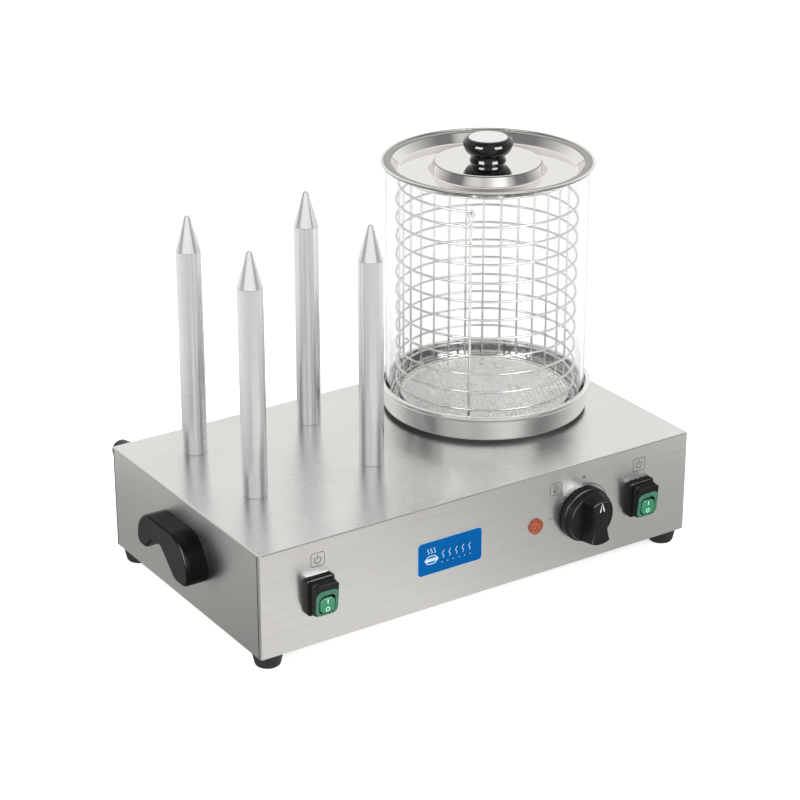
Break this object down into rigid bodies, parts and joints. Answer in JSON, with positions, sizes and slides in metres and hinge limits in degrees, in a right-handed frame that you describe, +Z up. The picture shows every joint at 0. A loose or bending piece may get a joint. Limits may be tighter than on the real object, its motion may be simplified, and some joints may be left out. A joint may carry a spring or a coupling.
{
  "type": "hot dog steamer",
  "caption": "Electric hot dog steamer: steel housing with heated bun spikes, and a water pan under a glass cylinder with a wire basket and a lid.",
  "frame": {"origin": "on the ground, under the middle of the housing", "axes": "+X to the right seen from the front, along the length; +Y to the back; +Z up"},
  "size_m": [0.534, 0.342, 0.4001],
  "materials": {
    "base_steel": "mill finish",
    "basket_mesh": "woven mesh",
    "basket_wire": "bright drawn wire",
    "black_rubber": "matte",
    "brass_hardware": "satin",
    "clear_glass": "clear",
    "copper_tube": "drawn copper",
    "fastener_steel": "bright zinc",
    "gloss_black": "high gloss",
    "handle_black": "moulded, semi gloss",
    "heater_steel": "heat tinted",
    "housing_steel": "brushed along the length",
    "inner_black": "moulded",
    "knob_black": "moulded, satin",
    "label_blue": "printed film",
    "lamp_orange": "translucent",
    "pan_steel": "satin, pressed",
    "polished_aluminium": "polished",
    "polished_lid": "mirror polished, spun",
    "rocker_green": "translucent",
    "spike_aluminium": "satin, turned",
    "switch_black": "moulded, satin",
    "white_plastic": "moulded",
    "wire_insulation": "silicone sleeve"
  },
  "bodies": {
    "root": {"base_plate": "base_steel", "base_screws": "fastener_steel", "cable_gland": "switch_black", "capillary": "copper_tube", "collar_screws": "fastener_steel", "earth_stud": "brass_hardware", "foot_front_left": "black_rubber", "foot_front_right": "black_rubber", "foot_nuts": "fastener_steel", "foot_rear_left": "black_rubber", "foot_rear_right": "black_rubber", "foot_screws": "fastener_steel", "gland_locknut": "switch_black", "handle_screws": "fastener_steel", "heater_clamp": "base_steel", "heater_nuts": "fastener_steel", "housing_cover": "housing_steel", "label_plate": "label_blue", "lamp_body": "inner_black", "lamp_lens": "lamp_orange", "left_handle": "handle_black", "left_side_panel": "housing_steel", "left_switch_body": "inner_black", "left_switch_frame": "switch_black", "pan_collar": "polished_aluminium", "pan_gasket": "black_rubber", "pan_heater": "heater_steel", "right_handle": "handle_black", "right_side_panel": "housing_steel", "right_switch_body": "inner_black", "right_switch_frame": "switch_black", "safety_cutout": "white_plastic", "spike_front_left": "spike_aluminium", "spike_front_right": "spike_aluminium", "spike_heaters": "heater_steel", "spike_nuts": "brass_hardware", "spike_rear_left": "spike_aluminium", "spike_rear_right": "spike_aluminium", "terminal_block": "white_plastic", "thermostat_body": "inner_black", "thermostat_screws": "fastener_steel", "water_pan": "pan_steel", "wiring_loom": "wire_insulation"},
    "steam_plate": {"steam_plate": "pan_steel"},
    "glass": {"glass_cylinder": "clear_glass"},
    "basket": {"basket_rings": "basket_wire", "basket_uprights": "basket_wire", "basket_cradle": "basket_wire", "basket_floor": "basket_mesh"},
    "bail": {"basket_bail": "basket_wire"},
    "lid": {"lid_pan": "polished_lid", "lid_knob": "gloss_black", "lid_screw": "fastener_steel"},
    "left_rocker": {"left_rocker": "rocker_green"},
    "right_rocker": {"right_rocker": "rocker_green"},
    "knob": {"thermostat_knob": "knob_black", "thermostat_shaft": "fastener_steel"}
  },
  "joints": [
    {"name": "steam_plate_lift", "type": "slide", "parent": "root", "child": "steam_plate", "axis": [0, 0, 1], "range_m": [0, 0.06]},
    {"name": "glass_lift", "type": "slide", "parent": "steam_plate", "child": "glass", "axis": [0, 0, 1], "range_m": [0, 0.06]},
    {"name": "basket_lift", "type": "slide", "parent": "glass", "child": "basket", "axis": [0, 0, 1], "range_m": [0, 0.245]},
    {"name": "lid_lift", "type": "slide", "parent": "basket", "child": "lid", "axis": [0, 0, 1], "range_m": [0, 0.12]},
    {"name": "bail_swing", "type": "hinge", "parent": "basket", "child": "bail", "pos_m": [0.1195, 0.03, 0.3505], "axis": [0.712, 0.7022, 0], "range_deg": [0, 5]},
    {"name": "left_rocker_tilt", "type": "hinge", "parent": "root", "child": "left_rocker", "pos_m": [-0.184, -0.149, 0.0668], "axis": [1, 0, 0], "range_deg": [0, 18]},
    {"name": "right_rocker_tilt", "type": "hinge", "parent": "root", "child": "right_rocker", "pos_m": [0.184, -0.149, 0.0668], "axis": [1, 0, 0], "range_deg": [0, 18]},
    {"name": "thermostat_turn", "type": "hinge", "parent": "root", "child": "knob", "pos_m": [0.1166, -0.141, 0.0668], "axis": [0, 1, 0], "range_deg": [0, 270]}
  ]
}
